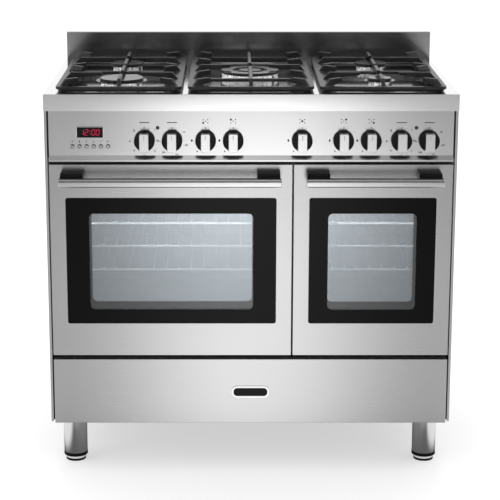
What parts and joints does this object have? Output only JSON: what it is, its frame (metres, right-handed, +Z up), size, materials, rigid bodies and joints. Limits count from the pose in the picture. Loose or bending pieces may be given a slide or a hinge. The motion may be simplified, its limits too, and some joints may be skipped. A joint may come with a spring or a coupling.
{
  "type": "kitchen stove",
  "caption": "Free-standing wide dual-fuel range cooker with gas hob, two glazed drop-down oven doors, storage drawer and round adjustable legs.",
  "frame": {"origin": "on the floor under the middle of the bounding box", "axes": "+Z up, -Y towards the user at the front, +X to the user's right"},
  "size_m": [0.9, 0.66, 0.934],
  "materials": {
    "brushed_steel": "brushed",
    "galvanised_steel": "plain zinc coat",
    "oven_enamel": "vitreous enamel",
    "chrome_wire": "bright wire",
    "cap_enamel": "satin enamel",
    "cast_iron": "satin enamel",
    "aluminium": "die cast",
    "gas_fittings": "machined",
    "element_steel": "oxidised sheath",
    "door_glass": "clear with black printed border",
    "seal_rubber": "woven fibre and silicone",
    "black_plastic": "satin",
    "grey_plastic": "smooth",
    "lamp_lens": "clear tinted"
  },
  "bodies": {
    "body": {"side_panels": "brushed_steel", "base_pan": "galvanised_steel", "rear_panel": "galvanised_steel", "front_frame": "oven_enamel", "hob_top": "brushed_steel", "splashback": "brushed_steel", "control_panel": "brushed_steel", "clock_module": "black_plastic", "indicator_lamps": "lamp_lens", "oven_switches": "black_plastic", "gas_manifold": "gas_fittings", "main_oven_cavity": "oven_enamel", "side_oven_cavity": "oven_enamel", "oven_racks": "chrome_wire", "heating_elements": "element_steel", "fan_unit": "galvanised_steel", "door_seals": "seal_rubber", "hinge_brackets": "galvanised_steel", "burner_bodies": "aluminium", "burner_caps": "cap_enamel", "leg_tubes": "brushed_steel", "terminal_box": "black_plastic"},
    "main_door": {"main_door_skin": "brushed_steel", "main_door_liner": "oven_enamel", "main_door_panes": "door_glass", "main_door_handle": "brushed_steel", "main_door_hinges": "galvanised_steel"},
    "side_door": {"side_door_skin": "brushed_steel", "side_door_liner": "oven_enamel", "side_door_panes": "door_glass", "side_door_handle": "brushed_steel", "side_door_hinges": "galvanised_steel"},
    "drawer": {"drawer_front": "brushed_steel", "drawer_tray": "galvanised_steel", "name_plate": "grey_plastic"},
    "knob_1": {"knob_1": "black_plastic"},
    "knob_2": {"knob_2": "black_plastic"},
    "knob_3": {"knob_3": "black_plastic"},
    "gas_spindle_3": {"gas_spindle_3": "gas_fittings"},
    "knob_4": {"knob_4": "black_plastic"},
    "gas_spindle_4": {"gas_spindle_4": "gas_fittings"},
    "knob_5": {"knob_5": "black_plastic"},
    "gas_spindle_5": {"gas_spindle_5": "gas_fittings"},
    "knob_6": {"knob_6": "black_plastic"},
    "gas_spindle_6": {"gas_spindle_6": "gas_fittings"},
    "knob_7": {"knob_7": "black_plastic"},
    "gas_spindle_7": {"gas_spindle_7": "gas_fittings"},
    "knob_8": {"knob_8": "black_plastic"},
    "knob_9": {"knob_9": "black_plastic"},
    "clock_button_1": {"clock_button_1": "grey_plastic"},
    "clock_button_2": {"clock_button_2": "grey_plastic"},
    "clock_button_3": {"clock_button_3": "grey_plastic"},
    "clock_button_4": {"clock_button_4": "grey_plastic"},
    "clock_button_5": {"clock_button_5": "grey_plastic"},
    "clock_button_6": {"clock_button_6": "grey_plastic"},
    "left_pan_support": {"left_pan_support": "cast_iron"},
    "centre_pan_support": {"centre_pan_support": "cast_iron"},
    "right_pan_support": {"right_pan_support": "cast_iron"},
    "feet": {"levelling_feet": "galvanised_steel"},
    "fan": {"fan_blade": "galvanised_steel"}
  },
  "joints": [
    {"name": "main_door_hinge", "type": "hinge", "parent": "body", "child": "main_door", "pos_m": [-0.17525, -0.252, 0.2982], "axis": [1, 0, 0], "range_deg": [0, 90], "stiffness_Nm_per_rad": 2, "springref_deg": -34.38},
    {"name": "side_door_hinge", "type": "hinge", "parent": "body", "child": "side_door", "pos_m": [0.26725, -0.252, 0.2982], "axis": [1, 0, 0], "range_deg": [0, 90], "stiffness_Nm_per_rad": 2, "springref_deg": -34.38},
    {"name": "drawer_slide", "type": "slide", "parent": "body", "child": "drawer", "axis": [0, -1, 0], "range_m": [0, 0.35]},
    {"name": "knob_1_turn", "type": "hinge", "parent": "body", "child": "knob_1", "pos_m": [-0.232, -0.2614, 0.767], "axis": [0, 1, 0], "continuous": true},
    {"name": "knob_2_turn", "type": "hinge", "parent": "body", "child": "knob_2", "pos_m": [-0.172, -0.2614, 0.767], "axis": [0, 1, 0], "range_deg": [0, 270]},
    {"name": "gas_spindle_3_push", "type": "slide", "parent": "body", "child": "gas_spindle_3", "axis": [0, 1, 0], "range_m": [0, 0.004], "stiffness_N_per_m": 1500},
    {"name": "knob_3_turn", "type": "hinge", "parent": "gas_spindle_3", "child": "knob_3", "pos_m": [-0.099, -0.2614, 0.767], "axis": [0, -1, 0], "range_deg": [0, 155]},
    {"name": "gas_spindle_4_push", "type": "slide", "parent": "body", "child": "gas_spindle_4", "axis": [0, 1, 0], "range_m": [0, 0.004], "stiffness_N_per_m": 1500},
    {"name": "knob_4_turn", "type": "hinge", "parent": "gas_spindle_4", "child": "knob_4", "pos_m": [-0.039, -0.2614, 0.767], "axis": [0, -1, 0], "range_deg": [0, 155]},
    {"name": "gas_spindle_5_push", "type": "slide", "parent": "body", "child": "gas_spindle_5", "axis": [0, 1, 0], "range_m": [0, 0.004], "stiffness_N_per_m": 1500},
    {"name": "knob_5_turn", "type": "hinge", "parent": "gas_spindle_5", "child": "knob_5", "pos_m": [0.111, -0.2614, 0.767], "axis": [0, -1, 0], "range_deg": [0, 155]},
    {"name": "gas_spindle_6_push", "type": "slide", "parent": "body", "child": "gas_spindle_6", "axis": [0, 1, 0], "range_m": [0, 0.004], "stiffness_N_per_m": 1500},
    {"name": "knob_6_turn", "type": "hinge", "parent": "gas_spindle_6", "child": "knob_6", "pos_m": [0.201, -0.2614, 0.767], "axis": [0, -1, 0], "range_deg": [0, 155]},
    {"name": "gas_spindle_7_push", "type": "slide", "parent": "body", "child": "gas_spindle_7", "axis": [0, 1, 0], "range_m": [0, 0.004], "stiffness_N_per_m": 1500},
    {"name": "knob_7_turn", "type": "hinge", "parent": "gas_spindle_7", "child": "knob_7", "pos_m": [0.261, -0.2614, 0.767], "axis": [0, -1, 0], "range_deg": [0, 155]},
    {"name": "knob_8_turn", "type": "hinge", "parent": "body", "child": "knob_8", "pos_m": [0.327, -0.2614, 0.767], "axis": [0, 1, 0], "continuous": true},
    {"name": "knob_9_turn", "type": "hinge", "parent": "body", "child": "knob_9", "pos_m": [0.387, -0.2614, 0.767], "axis": [0, 1, 0], "range_deg": [0, 270]},
    {"name": "clock_button_1_press", "type": "slide", "parent": "body", "child": "clock_button_1", "axis": [0, 1, 0], "range_m": [0, 0.0015], "stiffness_N_per_m": 800},
    {"name": "clock_button_2_press", "type": "slide", "parent": "body", "child": "clock_button_2", "axis": [0, 1, 0], "range_m": [0, 0.0015], "stiffness_N_per_m": 800},
    {"name": "clock_button_3_press", "type": "slide", "parent": "body", "child": "clock_button_3", "axis": [0, 1, 0], "range_m": [0, 0.0015], "stiffness_N_per_m": 800},
    {"name": "clock_button_4_press", "type": "slide", "parent": "body", "child": "clock_button_4", "axis": [0, 1, 0], "range_m": [0, 0.0015], "stiffness_N_per_m": 800},
    {"name": "clock_button_5_press", "type": "slide", "parent": "body", "child": "clock_button_5", "axis": [0, 1, 0], "range_m": [0, 0.0015], "stiffness_N_per_m": 800},
    {"name": "clock_button_6_press", "type": "slide", "parent": "body", "child": "clock_button_6", "axis": [0, 1, 0], "range_m": [0, 0.0015], "stiffness_N_per_m": 800},
    {"name": "left_pan_support_lift", "type": "slide", "parent": "body", "child": "left_pan_support", "axis": [0, 0, 1], "range_m": [0, 0.1]},
    {"name": "centre_pan_support_lift", "type": "slide", "parent": "body", "child": "centre_pan_support", "axis": [0, 0, 1], "range_m": [0, 0.1]},
    {"name": "right_pan_support_lift", "type": "slide", "parent": "body", "child": "right_pan_support", "axis": [0, 0, 1], "range_m": [0, 0.1]},
    {"name": "feet_adjust", "type": "slide", "parent": "body", "child": "feet", "axis": [0, 0, -1], "range_m": [0, 0.03]},
    {"name": "fan_spin", "type": "hinge", "parent": "body", "child": "fan", "pos_m": [-0.17525, 0.152, 0.4952], "axis": [0, 1, 0], "continuous": true}
  ]
}
